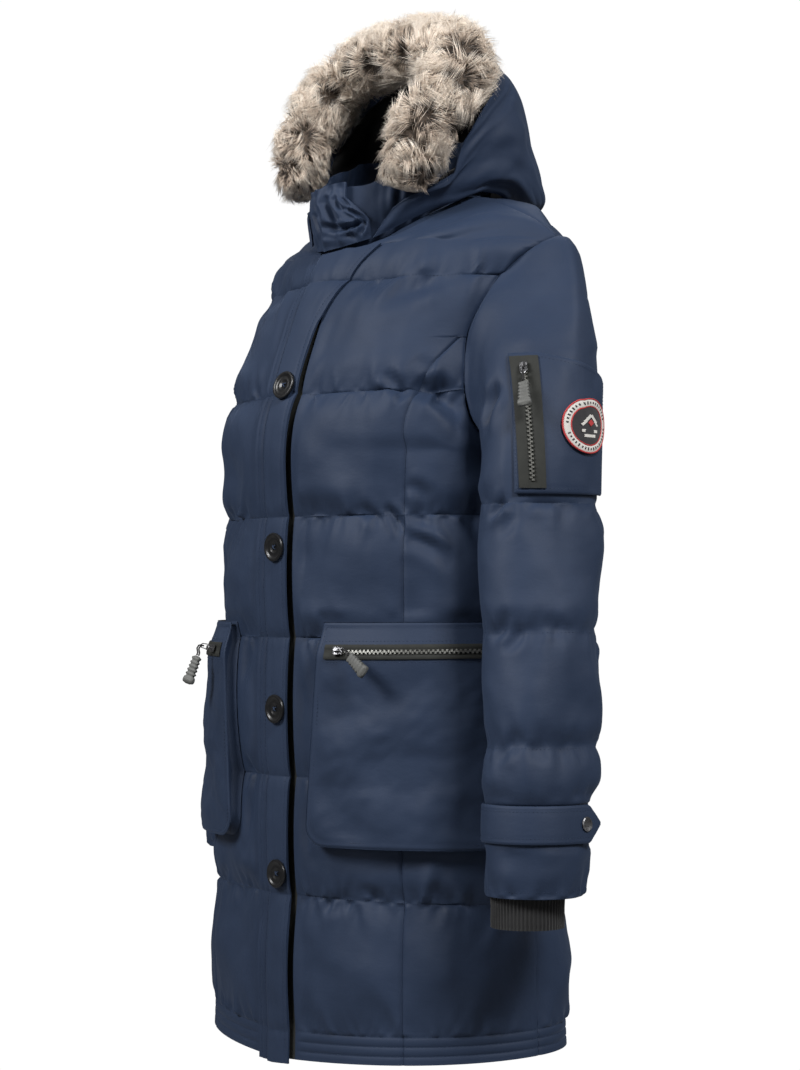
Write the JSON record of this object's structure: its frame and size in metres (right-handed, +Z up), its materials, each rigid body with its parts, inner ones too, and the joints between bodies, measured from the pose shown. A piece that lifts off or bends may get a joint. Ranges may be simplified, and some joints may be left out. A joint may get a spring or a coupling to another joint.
{
  "type": "fur trimmed parka",
  "caption": "Long padded parka with a fur trimmed hood, gathered stand collar, buttoned strip over its zip, bellows pockets and a zipped sleeve pocket.",
  "frame": {"origin": "centre of the neck at the level of the shoulders, where the wearer's shoulders hold the coat", "axes": "+Z up, -Y to the wearer's front, +X to the wearer's left"},
  "size_m": [0.6674, 0.3324, 1.0318],
  "materials": {
    "navy_shell": "closely woven polyester with a soft sheen, padded and quilted",
    "black_zip_tape": "woven zip tape with dark metal teeth",
    "black_button": "satin black plastic",
    "beige_grey_fur": "long pile faux fur, beige tips over dark brown roots",
    "black_lining": "smooth matt lining",
    "black_rib_knit": "ribbed knit",
    "gunmetal": "dark nickel plated metal",
    "black_cord": "woven cord",
    "black_rubber": "moulded rubber with a ribbed grip",
    "badge_cloth": "embroidered badge with a plain made-up pattern"
  },
  "bodies": {
    "garment": {"back": "navy_shell", "button_1": "black_button", "button_2": "black_button", "button_3": "black_button", "button_4": "black_button", "button_strip": "navy_shell", "collar": "navy_shell", "cuff_snap_left": "gunmetal", "cuff_snap_right": "gunmetal", "cuff_strap_left": "navy_shell", "cuff_strap_right": "navy_shell", "front_left": "navy_shell", "front_right": "navy_shell", "front_zip": "black_zip_tape", "fur_trim": "beige_grey_fur", "hood_left": "navy_shell", "hood_lining": "black_lining", "hood_right": "navy_shell", "pocket_left": "navy_shell", "pocket_right": "navy_shell", "pocket_slider_left": "gunmetal", "pocket_slider_right": "gunmetal", "pocket_zip_left": "black_zip_tape", "pocket_zip_right": "black_zip_tape", "rib_cuff_left": "black_rib_knit", "rib_cuff_right": "black_rib_knit", "side_front_left": "navy_shell", "side_front_right": "navy_shell", "sleeve_back_left": "navy_shell", "sleeve_back_right": "navy_shell", "sleeve_badge": "badge_cloth", "sleeve_front_left": "navy_shell", "sleeve_front_right": "navy_shell", "sleeve_pocket": "navy_shell", "sleeve_slider": "gunmetal", "sleeve_zip": "black_zip_tape"},
    "pull_left": {"pocket_pull_left_tab": "gunmetal", "pocket_pull_left_cord": "black_cord", "pocket_pull_left_grip": "black_rubber"},
    "pull_right": {"pocket_pull_right_tab": "gunmetal", "pocket_pull_right_cord": "black_cord", "pocket_pull_right_grip": "black_rubber"},
    "pull_sleeve": {"sleeve_pull_tab": "gunmetal", "sleeve_pull_cord": "black_cord", "sleeve_pull_grip": "black_rubber"}
  },
  "joints": [
    {"name": "pull_left_hinge", "type": "hinge", "parent": "garment", "child": "pull_left", "pos_m": [0.10503, -0.14658, -0.41095], "axis": [0.0984, -0.2477, -0.9638], "range_deg": [-10, 150]},
    {"name": "pull_right_hinge", "type": "hinge", "parent": "garment", "child": "pull_right", "pos_m": [-0.10503, -0.14658, -0.41095], "axis": [0.0984, 0.2477, 0.9638], "range_deg": [-40, 110]},
    {"name": "pull_sleeve_hinge", "type": "hinge", "parent": "garment", "child": "pull_sleeve", "pos_m": [0.26283, -0.0515, -0.14935], "axis": [-0.7757, -0.597, -0.2047], "range_deg": [-10, 150]}
  ]
}
